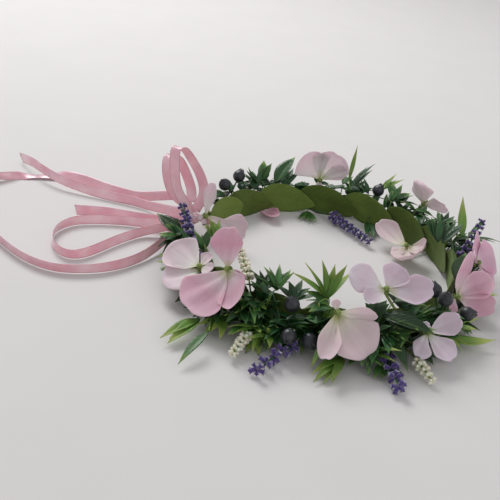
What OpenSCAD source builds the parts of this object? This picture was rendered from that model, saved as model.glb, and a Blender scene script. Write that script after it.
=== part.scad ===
// Flower crown: a taped wire hoop lined with fabric leaves, dressed with
// four-petal blossoms that turn on their stems, lavender, berries, buds and
// foliage, and closed by one length of satin ribbon tied through two wire eyes.
// Units are millimetres. Origin: centre of the ring, on the surface it lies on.
// +X points to the closed front of the crown, the ribbon side is -X, +Z is up.

/* [Ring] */
// inside diameter of the crown, measured on the lining
inner_d = 176; // [160:1:200]
// distance between the hoop's two ends
hoop_gap = 38; // [30:1:46]
// diameter of the hoop wire
wire_d = 2; // [1.2:0.1:3]
// diameter over the floral tape
tape_d = 5; // [4:0.1:7]
// height of the hoop above the surface
hoop_z = 11; // [8:0.5:14]

/* [Lining] */
// height of a lining leaf
lining_h = 24; // [18:0.5:30]
// length of a lining leaf along the ring
lining_l = 48; // [40:0.5:56]
// thickness of the lining fabric
lining_t = 0.4; // [0.3:0.05:0.8]
// number of lining leaves round the ring
lining_n = 15; // [12:1:16]
// angle from one lining leaf to the next
lining_pitch = 22.6; // [20:0.1:26]

/* [Blossoms] */
// scale of the petals' length
petal_scale = 1; // [0.8:0.02:1.1]
// width of a petal against its length
petal_ratio = 0.72; // [0.6:0.02:0.9]
// thickness of the petal fabric
petal_t = 0.5; // [0.3:0.05:0.8]
// diameter of the peg a blossom turns on
peg_d = 1.8; // [1.4:0.1:2.6]
// radial clearance of the petals' hole round the peg
peg_gap = 0.05; // [0.02:0.01:0.1]
// diameter of the bead that keeps the petals on
bead_d = 3.4; // [2.8:0.1:5]
// diameter of a stem
stem_d = 1.6; // [1.2:0.1:2.4]

/* [Picks] */
// diameter of a berry
berry_d = 9; // [7:0.5:11]
// length of a lavender floret, from the stalk outwards
floret_d = 3.6; // [2.6:0.1:4.4]
// diameter of a white bud
bud_d = 3.2; // [2:0.2:4]
// thickness of a foliage leaf
leaf_t = 0.6; // [0.4:0.1:1]
// diameter of the hub that gathers a spray's leaves
hub_d = 4; // [3.4:0.2:5]

/* [Ribbon] */
// width of the satin ribbon
ribbon_w = 7.2; // [6:0.2:10]
// thickness of the satin ribbon
ribbon_t = 0.5; // [0.3:0.1:0.8]

/* [Hidden] */
$fn = 32;
R = inner_d / 2;
HR = R + lining_t + 0.7 + tape_d / 2;
hoop_arc = 180 - asin(hoop_gap / 2 / HR);
eye_r = 3.6;
eye_turn = 180 / PI * (eye_r - 0.08) / HR;
// the ribbon's routes are drawn for an eye radius of 91.6, and move with the eyes
ribbon_place = [91.6 - HR, 0, hoop_z - 11];

function rad(dr, a, z) = [(R + dr) * cos(a), (R + dr) * sin(a), z];
function aim(az, el) = [cos(el) * cos(az), cos(el) * sin(az), sin(el)];
function unit(v) = v / norm(v);
function hoop(a) = [HR * cos(a), HR * sin(a), hoop_z];
// the angle of a place y to the side of the ribbon, so that it keeps its distance from the eyes
function angle_at(dr, y) = 180 - asin(y / (R + dr));

// Blossoms: [offset from R, angle, height], [azimuth, elevation], cup radius,
// stem root angle, petals [direction, length]
B1 = [[12, -121, 34], [-124, 33], 62, -118, [[-8, 35], [62, 30], [128, 22], [205, 26]]];
B2 = [[11, -137, 20], [-136, 58], 60, -141, [[-14, 26], [-78, 28], [-165, 9], [110, 9]]];
B3 = [[14, -81, 30], [-65, 36], 52, -83, [[33, 31], [-25, 32], [95, 21], [190, 9]]];
B4 = [[-3, -61, lining_h + 12], [-83, 54], 46, -58, [[103, 30], [165, 24], [-99, 22], [-50, 19]]];
B5 = [[19, -49, 17], [-62, 50], 46, -47, [[30, 22], [109, 19], [-80, 22], [190, 9]]];
B6 = [[7, -25, 22], [-42, 35], 60, -21, [[62, 30], [99, 30], [154, 31], [-50, 9]]];
B7 = [[11, 0, 28], [-8, 34], 46, 3, [[75, 25], [140, 22], [-150, 10], [5, 20]]];
B8 = [[10, 101, 25], [-79, 8], 60, 104, [[228, 26], [172, 26], [128, 24], [0, 5]]];
B9 = [[24, 55, 24], [45, 45], 40, 58, [[90, 18], [170, 21], [-90, 18], [0, 18]]];
B10 = [[1, angle_at(1, 7.76), 18], [-77, 20], 70, 164.5, [[76, 33], [174, 26], [-70, 10], [-10, 9]]];
B11 = [[-17, 38, 8], [-146, 64], 50, 39.2, [[-77, 32], [62, 28], [112, 20], [12, 14]]];

// Ribbon routes: [x, y, z, azimuth, elevation] with the direction of the width
LONG_LOOP = [
    [-101, 17, 16, 90, 80], [-109, 31, 15, 90, 80], [-120, 43, 12, 90, 80],
    [-134, 45, 8, 90, 75], [-152, 44, 4.6, 90, 75], [-176, 48, 4.2, 90, 70],
    [-207, 54, 5, 100, 60], [-229, 51, 2, 70, 5], [-244, 43, 2, 55, 5],
    [-260, 26, 5, 20, 60], [-268, 6, 4.2, 0, 80], [-261, -16, 4.2, 330, 80],
    [-242, -34, 4.2, 315, 75], [-211, -59, 4.2, 300, 70], [-185, -74, 4.2, 285, 75],
    [-161, -77, 4.2, 270, 75], [-136, -65, 4.2, 235, 75], [-119, -43, 4.2, 215, 75],
    [-109, -14, 7, 200, 75], [-104, 1, 9, 190, 75]
];
LONG_END = [
    [-104, 14, 14, 90, 80], [-117, 23, 9, 90, 80], [-137, 32, 4.6, 90, 80],
    [-152, 35, 4.2, 90, 80], [-178, 36, 4.2, 90, 80], [-208, 39, 7, 90, 85],
    [-226, 46, 8.6, 90, 88], [-243, 58, 8.2, 110, 80], [-259, 71, 4.2, 120, 70]
];
SHORT_END = [
    [-104, 11, 10, 90, 80], [-114, 12, 7.5, 90, 80], [-128, 12, 4.6, 90, 80],
    [-143, 11, 4.2, 90, 80], [-164, 9, 4.2, 90, 75], [-184, 3, 4.2, 90, 75]
];
TIE = [
    [-100, 7, 13, 90, 80], [-101, -4, 11.5, 180, 80], [-98, -13, 11, 180, 88],
    [-91, -15.6, 11, 180, 88], [-87, -14, 9, 180, 80], [-85.4, -6, 6.5, 180, 80],
    [-85.4, 6, 6.5, 180, 80], [-87, 14, 9, 180, 80], [-91, 15.6, 11, 180, 88],
    [-96, 15, 12, 180, 88], [-99, 13.6, 13, 180, 80]
];
SIDE_LOOP = [
    [-103, 7, 10, 90, 85], [-118, 5, 7, 90, 85], [-133, 4, 4.6, 90, 85],
    [-149, 1, 4.2, 90, 85], [-167, -6, 4.2, 60, 80], [-179, -15, 4.2, 30, 80],
    [-184, -30, 4.2, 0, 80], [-179, -48, 4.2, 330, 80], [-166, -58, 4.2, 280, 80],
    [-154, -52, 4.2, 225, 80], [-140, -25, 4.2, 205, 80], [-128, -8, 4.6, 220, 80],
    [-113, -1, 8.5, 250, 80], [-103, 4, 9.5, 260, 80]
];
STANDING_LOOP = [
    [-98, 15, 17, 0, 0], [-95, 23, 28, 0, 0], [-99, 25, 40, 0, 0],
    [-107, 22, 54, 0, 0], [-112, 17, 62, 0, 0], [-115, 11, 62, 0, 0],
    [-114, 8, 50, 0, 0], [-111, 7, 36, 0, 0], [-104, 7, 25, 0, 0], [-99, 8, 18, 0, 0]
];
SECOND_LOOP = [
    [-103, 21, 20, 0, 0], [-106, 28, 28, 0, 0], [-114, 31, 42, 0, 0],
    [-119, 28, 50, 0, 0], [-123, 22, 50, 0, 0], [-121, 16, 40, 0, 0],
    [-115, 13, 28, 0, 0], [-107, 14, 21, 0, 0]
];

// Places the children at p with +Z along an azimuth and an elevation.
module at(p, az, el, spin = 0) {
    translate(p) rotate([0, 90 - el, az]) rotate([0, 0, spin]) children();
}

// A straight round rod between two points.
module rod(p, q, d) {
    v = q - p;
    translate(p)
        rotate([0, acos(v[2] / norm(v)), atan2(v[1], v[0])])
            cylinder(h = norm(v), d = d);
}

// A rod from the taped hoop at angle a to a point, rooted under the tape.
module root(a, q, d) {
    h = hoop(a);
    rod(h + unit(q - h) * (tape_d / 2 - 0.4), q, d);
}

// The outline of one petal along +X, broad and rounded.
module petal_outline(l, w) {
    polygon(concat(
        [for (i = [0:12]) let (t = i / 12)
            [1 + (l - 1) * t, 1.4 * (1 - t) + w / 2 * pow(sin(180 * pow(t, 1.25)), 0.62)]],
        [for (i = [12:-1:0]) let (t = i / 12)
            [1 + (l - 1) * t - 0.01, -1.4 * (1 - t) - w / 2 * pow(sin(180 * pow(t, 1.25)), 0.62)]]
    ));
}

// The four joined petals of a blossom with the hole for the peg.
module petals(b) {
    at(rad(b[0][0], b[0][1], b[0][2]), b[1][0], b[1][1])
    difference() {
        intersection() {
            translate([0, 0, b[2]]) difference() {
                sphere(r = b[2] + petal_t / 2);
                sphere(r = b[2] - petal_t / 2);
            }
            union() {
                translate([0, 0, -2]) cylinder(h = 6, r = 3.6);
                for (p = b[4]) rotate([0, 0, p[0]]) translate([0, 0, -2])
                    linear_extrude(height = 20)
                        petal_outline(p[1] * petal_scale, p[1] * petal_scale * petal_ratio);
            }
        }
        translate([0, 0, -3]) cylinder(h = 6, d = peg_d + 2 * peg_gap);
    }
}

// A blossom's calyx, peg and bead, in the blossom's own axes.
module head(b) {
    at(rad(b[0][0], b[0][1], b[0][2]), b[1][0], b[1][1]) {
        translate([0, 0, -4]) cylinder(h = 6.5, d = peg_d);
        translate([0, 0, -4]) cylinder(h = 3.4, r1 = stem_d / 2, r2 = 2.4);
        translate([0, 0, 2.3]) sphere(d = bead_d);
    }
}

function back(b, l) = rad(b[0][0], b[0][1], b[0][2]) - aim(b[1][0], b[1][1]) * l;

// A rod from the hoop at angle a to q, bent once at m.
module bent(a, m, q, d) {
    root(a, m, d);
    translate(m) sphere(d = d * 1.12);
    rod(m, q, d);
}

// A whole stem: calyx, peg and bead with a rod down to the hoop.
module stem(b) {
    union() {
        head(b);
        root(b[3], back(b, 3.4), stem_d);
    }
}

// A whole stem that is bent once at m on its way to the hoop.
module bent_stem(b, m) {
    union() {
        head(b);
        bent(b[3], m, back(b, 3.4), stem_d);
    }
}

// One lining leaf whose tip points clockwise, on its own slightly turned shell.
module lining_leaf(a, l = lining_l, turn = 1.5) {
    rotate([0, 0, a]) translate([R, 0, 0]) rotate([0, 0, turn]) translate([-R, 0, 0])
    intersection() {
        difference() {
            cylinder(h = lining_h, r = R + lining_t, $fn = 64);
            translate([0, 0, -1]) cylinder(h = lining_h + 2, r = R, $fn = 64);
        }
        translate([R - 8, 0, 0]) rotate([90, 0, 90]) linear_extrude(height = 16)
            polygon(concat(
                [for (i = [0:10]) let (t = i / 5 - 1)
                    [l / 2 * t, lining_h / 2 * (1 + pow(1 - t * t, 0.7) * 0.99)]],
                [for (i = [10:-1:0]) let (t = i / 5 - 1)
                    [l / 2 * t - 0.01, lining_h / 2 * (1 - pow(1 - t * t, 0.7))]]
            ));
    }
}

function leaf_angle(i) = 140.6 - lining_pitch * (i - 1);

// A flat pointed leaf from p, [azimuth, elevation], length, width and turn.
module blade(p, az, el, l, w, roll = 0) {
    at(p, az, el) rotate([0, 0, roll]) rotate([0, -90, 0])
        translate([0, 0, -leaf_t / 2]) linear_extrude(height = leaf_t)
            polygon([
                [hub_d / 4, -0.5], [l * 0.12, -w * 0.22], [l * 0.3, -w * 0.48], [l * 0.45, -w * 0.5],
                [l * 0.65, -w * 0.4], [l * 0.85, -w * 0.18], [l, -0.2], [l, 0.2],
                [l * 0.85, w * 0.18], [l * 0.65, w * 0.4], [l * 0.45, w * 0.5],
                [l * 0.3, w * 0.48], [l * 0.12, w * 0.22], [hub_d / 4, 0.5]
            ]);
}

// A spray of blades from one hub that a stalk joins to the hoop.
module spray(a, p, blades) {
    union() {
        root(a, p, 1.6);
        translate(p) sphere(d = hub_d, $fn = 8);
        for (b = blades) blade(p, b[0], b[1], b[2], b[3], len(b) > 4 ? b[4] : 14);
    }
}

// A lavender spike: one turned solid, a stalk with n whorls that swell and taper.
module spike(p, q, n) {
    v = q - p;
    l = norm(v);
    s = l * 0.8 / n;
    translate(p) rotate([0, acos(v[2] / l), atan2(v[1], v[0])])
        rotate_extrude() polygon(concat(
            [[0, 0], [0.6, 0]],
            [for (i = [0:n - 1]) let (z = l * 0.2 + s * i, r = floret_d * (1 - 0.35 * i / n))
                each [[0.6, z], [r * 0.7, z + s * 0.2], [r, z + s * 0.55], [r * 0.6, z + s * 0.85], [0.7, z + s * 0.9]]],
            [[0.6, l], [0, l]]
        ));
}

// Berries on short stalks from one joint, with the small crown at each end.
module berry(p, q) {
    rod(p, q, 1.2);
    translate(q) sphere(d = berry_d);
    v = unit(q - p);
    rod(q + v * (berry_d / 2 - 0.5), q + v * (berry_d / 2 + 0.8), berry_d * 0.34);
}

// A bud sprig: a stalk with round buds along it.
module sprig(p, q, n) {
    union() {
        rod(p, q, 1);
        v = q - p;
        translate(p) rotate([0, acos(v[2] / norm(v)), atan2(v[1], v[0])])
            for (i = [0:n - 1]) translate([0, 0, norm(v) * (0.3 + 0.7 * i / (n - 1))])
                sphere(d = bud_d);
    }
}

// A flat ribbon along a route, as one closed solid.
module ribbon(pts, width = ribbon_w, thick = ribbon_t) {
    n = len(pts);
    function p3(i) = [pts[i][0], pts[i][1], pts[i][2]];
    function d3(i) = unit(p3(min(n - 1, i + 1)) - p3(max(0, i - 1)));
    function w3(i) = let (w = aim(pts[i][3], pts[i][4]), d = d3(i)) unit(w - d * (w * d));
    function t3(i) = cross(d3(i), w3(i));
    verts = [for (i = [0:n - 1]) for (c = [[1, 1], [-1, 1], [-1, -1], [1, -1]])
        p3(i) + w3(i) * c[0] * width / 2 + t3(i) * c[1] * thick / 2];
    sides = [for (i = [0:n - 2]) for (k = [0:3])
        let (a = 4 * i + k, b = 4 * i + (k + 1) % 4) each [[a, b, b + 4], [a, b + 4, a + 4]]];
    translate(ribbon_place) polyhedron(points = verts,
        faces = concat([[0, 3, 2, 1]], sides, [[4 * n - 4, 4 * n - 3, 4 * n - 2, 4 * n - 1]]));
}

module hoop_wire() color("#6d6a60")
    rotate([0, 0, -hoop_arc]) rotate_extrude(angle = 2 * hoop_arc, $fn = 64)
        translate([HR, hoop_z]) circle(d = wire_d);

module hoop_tape() color("#5c5a2e")
    rotate([0, 0, 2 - hoop_arc]) rotate_extrude(angle = 2 * hoop_arc - 4, $fn = 64)
        translate([HR, hoop_z]) difference() {
            circle(d = tape_d);
            circle(d = wire_d + 0.04);
        }

module hoop_eyes() color("#6d6a60")
    for (s = [-1, 1]) rotate([0, 0, s * (hoop_arc + eye_turn)]) translate([HR, 0, hoop_z])
        rotate([0, 90, 0]) rotate_extrude(angle = 360) translate([eye_r, 0]) circle(d = wire_d * 0.8);

module lining_first_leaf() color("#6f8f3a") lining_leaf(158, lining_l * 0.75);

module lining_back_leaves() color("#5f7d34")
    for (i = [1:floor(lining_n / 2) - 1]) lining_leaf(leaf_angle(i));

module lining_front_leaves() color("#5f7d34")
    for (i = [floor(lining_n / 2):lining_n - 1]) lining_leaf(leaf_angle(i));

module stem_1() color("#7c8a4a") stem(B1);
module petals_1() color("#dba8c0") petals(B1);
module stem_2() color("#7c8a4a") stem(B2);
module petals_2() color("#e3c3d2") petals(B2);
module stem_3() color("#7c8a4a") stem(B3);
module petals_3() color("#e6c9d6") petals(B3);
module stem_4() color("#7c8a4a") bent_stem(B4, rad(3.4, -58, 27));
module petals_4() color("#e3bfd0") petals(B4);
module stem_5() color("#7c8a4a") stem(B5);
module petals_5() color("#dcc4d2") petals(B5);
module stem_6() color("#7c8a4a") stem(B6);
module petals_6() color("#dfbccd") petals(B6);
module stem_7() color("#7c8a4a") stem(B7);
module petals_7() color("#e2a9c8") petals(B7);
module stem_8() color("#7c8a4a") stem(B8);
module petals_8() color("#e0c6d6") petals(B8);
module stem_9() color("#7c8a4a") stem(B9);
module petals_9() color("#dcc3d4") petals(B9);
module stem_10() color("#7c8a4a") bent_stem(B10, rad(2.6, angle_at(2.6, 14.17), 20));
module petals_10() color("#e0bccb") petals(B10);
module stem_11() color("#7c8a4a") bent_stem(B11, rad(3.2, 38.9, 2.2));
module petals_11() color("#e6ccd4") petals(B11);
module petal_under_lining() color("#dfa9c0")
    at(rad(9, 129, 1.2), 129, 90, 180) intersection() {
        translate([0, 0, 120]) difference() {
            sphere(r = 120 + petal_t / 2);
            sphere(r = 120 - petal_t / 2);
        }
        translate([0, 0, -1]) linear_extrude(height = 12) petal_outline(29, 13);
    }

module lavender_1() color("#4a3a78") union() {
    spike(rad(7, -145, 15), rad(14, -174, 31), 7);
    root(-149, rad(7, -145, 15), 1.2);
    translate(rad(7, -145, 15)) sphere(d = 1.6);
}
module lavender_2() color("#4a3a78") union() {
    spike(rad(15, -91, 4.4), rad(50, -98.5, 4.4), 5);
    root(-87, rad(15, -91, 4.4), 1.2);
    translate(rad(15, -91, 4.4)) sphere(d = 1.6);
}
module lavender_3() color("#4a3a78") union() {
    spike(rad(12, -63.5, 6), rad(48, -65, 4.4), 5);
    root(-62, rad(12, -63.5, 6), 1.2);
    translate(rad(12, -63.5, 6)) sphere(d = 1.6);
}
module lavender_4() color("#4a3a78") union() {
    spike(rad(-8, 94, 4.2), rad(-34, 58.5, 4.4), 7);
    bent(107, rad(3, 106.7, 1.8), rad(-8, 94, 4.2), 1.2);
    translate(rad(-8, 94, 4.2)) sphere(d = 1.6);
}
module lavender_5() color("#4a3a78") union() {
    spike(rad(7, 12, 20), rad(21, 21, 42), 6);
    root(10, rad(7, 12, 20), 1.2);
    translate(rad(7, 12, 20)) sphere(d = 1.6);
}

module berries_front() color("#2a2d3c") union() {
    root(-94, rad(7, -94, 16), 1.4);
    translate(rad(7, -94, 16)) sphere(d = 2);
    berry(rad(7, -94, 16), rad(9, -96, 26));
    berry(rad(7, -94, 16), rad(25, -94, 15));
    berry(rad(7, -94, 16), rad(20, -88, 12));
}
module berries_right() color("#2a2d3c") union() {
    root(-36, rad(9, -38, 18), 1.4);
    translate(rad(9, -38, 18)) sphere(d = 2);
    berry(rad(9, -38, 18), rad(2, -38, lining_h + 8));
    berry(rad(9, -38, 18), rad(13, -40, 33));
    berry(rad(9, -38, 18), rad(21, -31, 21));
}
module berries_left() color("#2a2d3c") union() {
    root(146, rad(9, 146, 18), 1.4);
    translate(rad(9, 146, 18)) sphere(d = 2);
    berry(rad(9, 146, 18), rad(12, 141, 29));
    berry(rad(9, 146, 18), rad(9, 151, 27));
}
module berry_back() color("#2a2d3c") union() {
    root(76, rad(11, 75, 19), 1.4);
    berry(rad(11, 75, 19), rad(13, 74, 25));
}

module buds_inner() color("#e9e8dc") union() {
    root(-112, rad(2, -116, 28), 1);
    translate(rad(2, -116, 28)) sphere(d = 1.4);
    sprig(rad(2, -116, 28), rad(-13, -136, 34), 6);
}
module buds_left() color("#e9e8dc") union() {
    root(-107, rad(9, -107, 8), 1);
    translate(rad(9, -107, 8)) sphere(d = 1.4);
    sprig(rad(9, -107, 8), rad(44, -106, 5), 6);
}
module buds_right() color("#e9e8dc") union() {
    root(-55, rad(9, -55, 6), 1);
    translate(rad(9, -55, 6)) sphere(d = 1.4);
    sprig(rad(9, -55, 6), rad(45, -55, 4), 5);
}

module foliage_left() color("#3f6f33")
    spray(-163, rad(10, -166, 13), [
        [-172, 18, 26, 12], [-156, -6, 22, 9], [-140, -16, 22, 5], [165, 8, 20, 6],
        [-150, 34, 14, 6]]);
module foliage_corner() color("#5a8a34")
    spray(-126, rad(11, -127, 7), [[-117, -3, 50, 8], [-104, -4, 52, 7], [-140, -8, 34, 7]]);
module foliage_dark() color("#2c5330")
    spray(-103, rad(3, -105, lining_h + 2), [
        [170, 30, 22, 5], [140, 38, 18, 5], [-100, 20, 18, 7], [60, 45, 16, 5],
        [-120, 55, 16, 6], [-60, 10, 18, 6]]);
module foliage_star() color("#6d9a45")
    spray(-86, rad(3, -87, lining_h + 4), [
        [95, 35, 27, 6], [135, 30, 24, 5], [55, 30, 26, 5], [20, 12, 20, 5], [170, 25, 16, 5]]);
module foliage_glossy() color("#2a5a2e")
    spray(-66, rad(12, -67, 19), [[-30, 12, 24, 9], [-72, -24, 34, 11], [-45, 42, 12, 6]]);
module foliage_right() color("#4f8438")
    spray(-9, rad(14, -11, 12), [
        [-26, -12, 32, 6], [2, 6, 24, 7], [35, 12, 20, 6], [-8, -20, 24, 5], [15, 34, 16, 5]]);
module foliage_back_right() color("#2f6436")
    spray(27, rad(7, 28, 25), [
        [100, 35, 20, 6], [60, 45, 20, 6], [10, 40, 22, 6], [25, 62, 26, 7], [140, 20, 16, 6]]);
module foliage_back() color("#3c7040")
    spray(84, rad(8, 86, 20), [
        [60, 35, 26, 5], [30, 30, 26, 5], [85, 55, 34, 5], [120, 20, 16, 6], [20, 8, 24, 6]]);
module foliage_back_left() color("#2f5f35")
    spray(128, rad(9, 128, 20), [
        [150, 42, 22, 10], [70, 38, 24, 11], [175, 20, 20, 5], [110, 60, 22, 8], [100, 12, 16, 8]]);

module ribbon_knot() color("#d17f9c") translate(ribbon_place + [-98, 10, 14]) sphere(d = 11);
module ribbon_tie() color("#d17f9c") ribbon(TIE, 4, 0.8);
module ribbon_standing_loop() color("#d98ba6") ribbon(STANDING_LOOP);
module ribbon_second_loop() color("#d98ba6") ribbon(SECOND_LOOP);
module ribbon_side_loop() color("#d98ba6") ribbon(SIDE_LOOP);
module ribbon_long_loop() color("#d98ba6") ribbon(LONG_LOOP);
module ribbon_long_end() color("#d98ba6") ribbon(LONG_END);
module ribbon_short_end() color("#d98ba6") ribbon(SHORT_END);

hoop_wire();
hoop_tape();
hoop_eyes();
lining_first_leaf();
lining_back_leaves();
lining_front_leaves();
stem_1();
petals_1();
stem_2();
petals_2();
stem_3();
petals_3();
stem_4();
petals_4();
stem_5();
petals_5();
stem_6();
petals_6();
stem_7();
petals_7();
stem_8();
petals_8();
stem_9();
petals_9();
stem_10();
petals_10();
stem_11();
petals_11();
petal_under_lining();
lavender_1();
lavender_2();
lavender_3();
lavender_4();
lavender_5();
berries_front();
berries_right();
berries_left();
berry_back();
buds_inner();
buds_left();
buds_right();
foliage_left();
foliage_corner();
foliage_dark();
foliage_star();
foliage_glossy();
foliage_right();
foliage_back_right();
foliage_back();
foliage_back_left();
ribbon_knot();
ribbon_tie();
ribbon_standing_loop();
ribbon_second_loop();
ribbon_side_loop();
ribbon_long_loop();
ribbon_long_end();
ribbon_short_end();
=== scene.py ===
import math
import random

import bpy
import numpy as np
from mathutils import Matrix, Vector
from mathutils.kdtree import KDTree


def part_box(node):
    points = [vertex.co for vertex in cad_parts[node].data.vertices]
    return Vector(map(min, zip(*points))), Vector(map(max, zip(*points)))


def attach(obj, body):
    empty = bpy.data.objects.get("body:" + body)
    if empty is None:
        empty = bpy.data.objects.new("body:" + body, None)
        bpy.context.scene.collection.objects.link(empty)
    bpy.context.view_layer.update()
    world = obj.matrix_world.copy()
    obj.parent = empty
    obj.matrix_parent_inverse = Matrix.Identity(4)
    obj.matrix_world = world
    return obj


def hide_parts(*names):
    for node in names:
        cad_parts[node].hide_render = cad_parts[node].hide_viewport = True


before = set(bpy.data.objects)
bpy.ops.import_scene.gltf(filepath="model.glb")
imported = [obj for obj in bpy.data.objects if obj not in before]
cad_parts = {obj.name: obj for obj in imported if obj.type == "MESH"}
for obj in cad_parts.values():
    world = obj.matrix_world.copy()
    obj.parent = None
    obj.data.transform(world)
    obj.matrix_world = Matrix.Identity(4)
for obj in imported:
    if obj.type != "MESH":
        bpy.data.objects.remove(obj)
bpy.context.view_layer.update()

MM = 0.001
WIRE_OUTSIDE = 4.6  # from the lining's inner face to the outside of the hoop wire
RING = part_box("hoop_wire")[1].x / MM - WIRE_OUTSIDE
HOOP_Z = sum(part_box("hoop_wire")[i].z for i in (0, 1)) / 2 / MM
HOOP_R = RING + WIRE_OUTSIDE - 1
FLOOR = 0.1  # cloth, plastic and ribbon stay this high above the table
LEAF_GAP = 2.8  # from a leaf to the nearest point that leaves avoid
SWING = 12  # how far a blossom turns each way, in degrees


# ---------------------------------------------------------------- places

def rad(dr, angle, z):
    """A point dr outside the lining, at an angle round the ring, z above the table (mm)."""
    a = math.radians(angle)
    return Vector(((RING + dr) * math.cos(a), (RING + dr) * math.sin(a), z))


def aim(az, el):
    """The unit direction of an azimuth and an elevation."""
    a, e = math.radians(az), math.radians(el)
    return Vector((math.cos(e) * math.cos(a), math.cos(e) * math.sin(a), math.sin(e)))


def axes(az, el):
    """Down, side and out directions of something that faces along an azimuth and elevation."""
    a, e = math.radians(az), math.radians(el)
    out = aim(az, el)
    down = Vector((math.cos(a) * math.sin(e), math.sin(a) * math.sin(e), -math.cos(e)))
    return down, out.cross(down), out


# ---------------------------------------------------------------- camera

def camera():
    """Looks down at the ring from the front, rolled a little."""
    az, el, roll = math.radians(8), math.radians(28.56), math.radians(7.99)
    back = Vector((math.sin(az) * math.cos(el), -math.cos(az) * math.cos(el), math.sin(el)))
    right = Vector((math.cos(az), math.sin(az), 0))
    up = back.cross(right)
    across = right * math.cos(roll) + up * math.sin(roll)
    upward = up * math.cos(roll) - right * math.sin(roll)
    data = bpy.data.cameras.new("camera")
    data.sensor_width = 36
    data.lens = 57.6
    data.clip_start, data.clip_end = 0.01, 10
    obj = bpy.data.objects.new("camera", data)
    place = (Vector((-50.74, -13.18, 10)) + back * 548.66) * MM
    obj.matrix_world = Matrix((
        (across.x, upward.x, back.x, place.x),
        (across.y, upward.y, back.y, place.y),
        (across.z, upward.z, back.z, place.z),
        (0, 0, 0, 1),
    ))
    bpy.context.scene.collection.objects.link(obj)
    bpy.context.scene.camera = obj


camera()


# ---------------------------------------------------------------- meshes

class Cloth:
    """Gathers thin closed shells, with their UVs, a tone and a finish for each, into one piece."""

    def __init__(self):
        self.verts, self.faces, self.uvs, self.tones, self.count = [], [], [], [], 0
        self.finishes, self.slots, self.slot = [], [], 0

    def paint(self, material):
        """What is added from here on has this finish."""
        if material not in self.finishes:
            self.finishes.append(material)
        self.slot = self.finishes.index(material)

    def add(self, verts, faces, uvs, tone):
        self.verts.append(np.asarray(verts, float))
        self.faces += [tuple(i + self.count for i in face) for face in faces]
        self.slots += [self.slot] * len(faces)
        self.uvs.append(np.asarray(uvs, float))
        self.tones.append(np.full(len(verts), tone, float))
        self.count += len(verts)

    def shell(self, points, uvs, thick, tone=0.5, edge=0.35):
        """A sheet given as a grid of points in mm, made a closed shell that thins at its rim."""
        p = np.asarray(points, float)
        m, n = p.shape[:2]
        du, dv = np.gradient(p, axis=0), np.gradient(p, axis=1)
        normal = np.cross(du, dv)
        normal /= np.maximum(np.linalg.norm(normal, axis=2, keepdims=True), 1e-9)
        half = np.full((m, n, 1), thick / 2)
        half[0], half[-1], half[:, 0], half[:, -1] = (thick / 2 * edge,) * 4
        top, low = (p + normal * half).reshape(-1, 3), (p - normal * half).reshape(-1, 3)
        k = m * n
        faces = []
        for i in range(m - 1):
            for j in range(n - 1):
                a, b, c, d = i * n + j, (i + 1) * n + j, (i + 1) * n + j + 1, i * n + j + 1
                faces += [(a, b, c, d), (k + d, k + c, k + b, k + a)]
        rim = [i * n for i in range(m)] + [(m - 1) * n + j for j in range(1, n)]
        rim += [i * n + n - 1 for i in range(m - 2, -1, -1)] + [j for j in range(n - 2, 0, -1)]
        for a, b in zip(rim, rim[1:] + rim[:1]):
            faces.append((b, a, k + a, k + b))
        uv = np.asarray(uvs, float).reshape(-1, 2)
        self.add(np.vstack((top, low)), faces, np.vstack((uv, uv)), tone)

    def tube(self, points, radii, sides=8, tone=0.5):
        """A closed round tube along points in mm, with a radius at each."""
        pts = [Vector(p) for p in points]
        verts, uvs = [], []
        side = None
        for i, p in enumerate(pts):
            t = (pts[min(i + 1, len(pts) - 1)] - pts[max(i - 1, 0)]).normalized()
            if side is None:
                side = t.orthogonal().normalized()
            side = (side - t * side.dot(t)).normalized()
            other = t.cross(side)
            for k in range(sides):
                a = 2 * math.pi * k / sides
                verts.append(p + (side * math.cos(a) + other * math.sin(a)) * radii[i])
                uvs.append((i / (len(pts) - 1), k / sides))
        faces = [tuple(range(sides - 1, -1, -1))]
        for i in range(len(pts) - 1):
            for k in range(sides):
                a, b = i * sides + k, i * sides + (k + 1) % sides
                faces.append((a, b, b + sides, a + sides))
        last = (len(pts) - 1) * sides
        faces.append(tuple(range(last, last + sides)))
        self.add([tuple(v) for v in verts], faces, uvs, tone)

    def piece(self, name, *materials, smooth=True):
        mesh = bpy.data.meshes.new(name)
        verts = np.vstack(self.verts)
        verts[:, 2] = np.maximum(verts[:, 2], FLOOR)
        mesh.from_pydata((verts * MM).tolist(), [], self.faces)
        layer = mesh.uv_layers.new(name="UVMap")
        index = np.zeros(len(mesh.loops), np.int64)
        mesh.loops.foreach_get("vertex_index", index)
        layer.data.foreach_set("uv", np.vstack(self.uvs)[index].astype(np.float32).ravel())
        tone = mesh.attributes.new("tone", "FLOAT", "POINT")
        tone.data.foreach_set("value", np.concatenate(self.tones).astype(np.float32))
        mesh.polygons.foreach_set("use_smooth", [smooth] * len(mesh.polygons))
        for material in materials or self.finishes:
            mesh.materials.append(material)
        mesh.polygons.foreach_set("material_index", self.slots)
        mesh.update()
        obj = bpy.data.objects.new(name, mesh)
        bpy.context.scene.collection.objects.link(obj)
        return obj


def disc(n):
    """An n by n grid of points spread over a unit disc, with no pole."""
    s, t = np.meshgrid(np.linspace(-1, 1, n), np.linspace(-1, 1, n), indexing="ij")
    return s * np.sqrt(1 - t * t / 2), t * np.sqrt(1 - s * s / 2)


def swept(x, bends):
    """Place and slope along a strip whose slope (degrees) at each share of its length is given."""
    s = np.linspace(0, 1, 60)
    slope = np.radians(np.interp(s, np.linspace(0, 1, len(bends)), bends))
    step = np.gradient(s)
    along, rise = np.cumsum(np.cos(slope) * step), np.cumsum(np.sin(slope) * step)
    along, rise = along - along[0], rise - rise[0]
    return np.interp(x, s, along), np.interp(x, s, rise), np.interp(x, s, slope)


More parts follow.
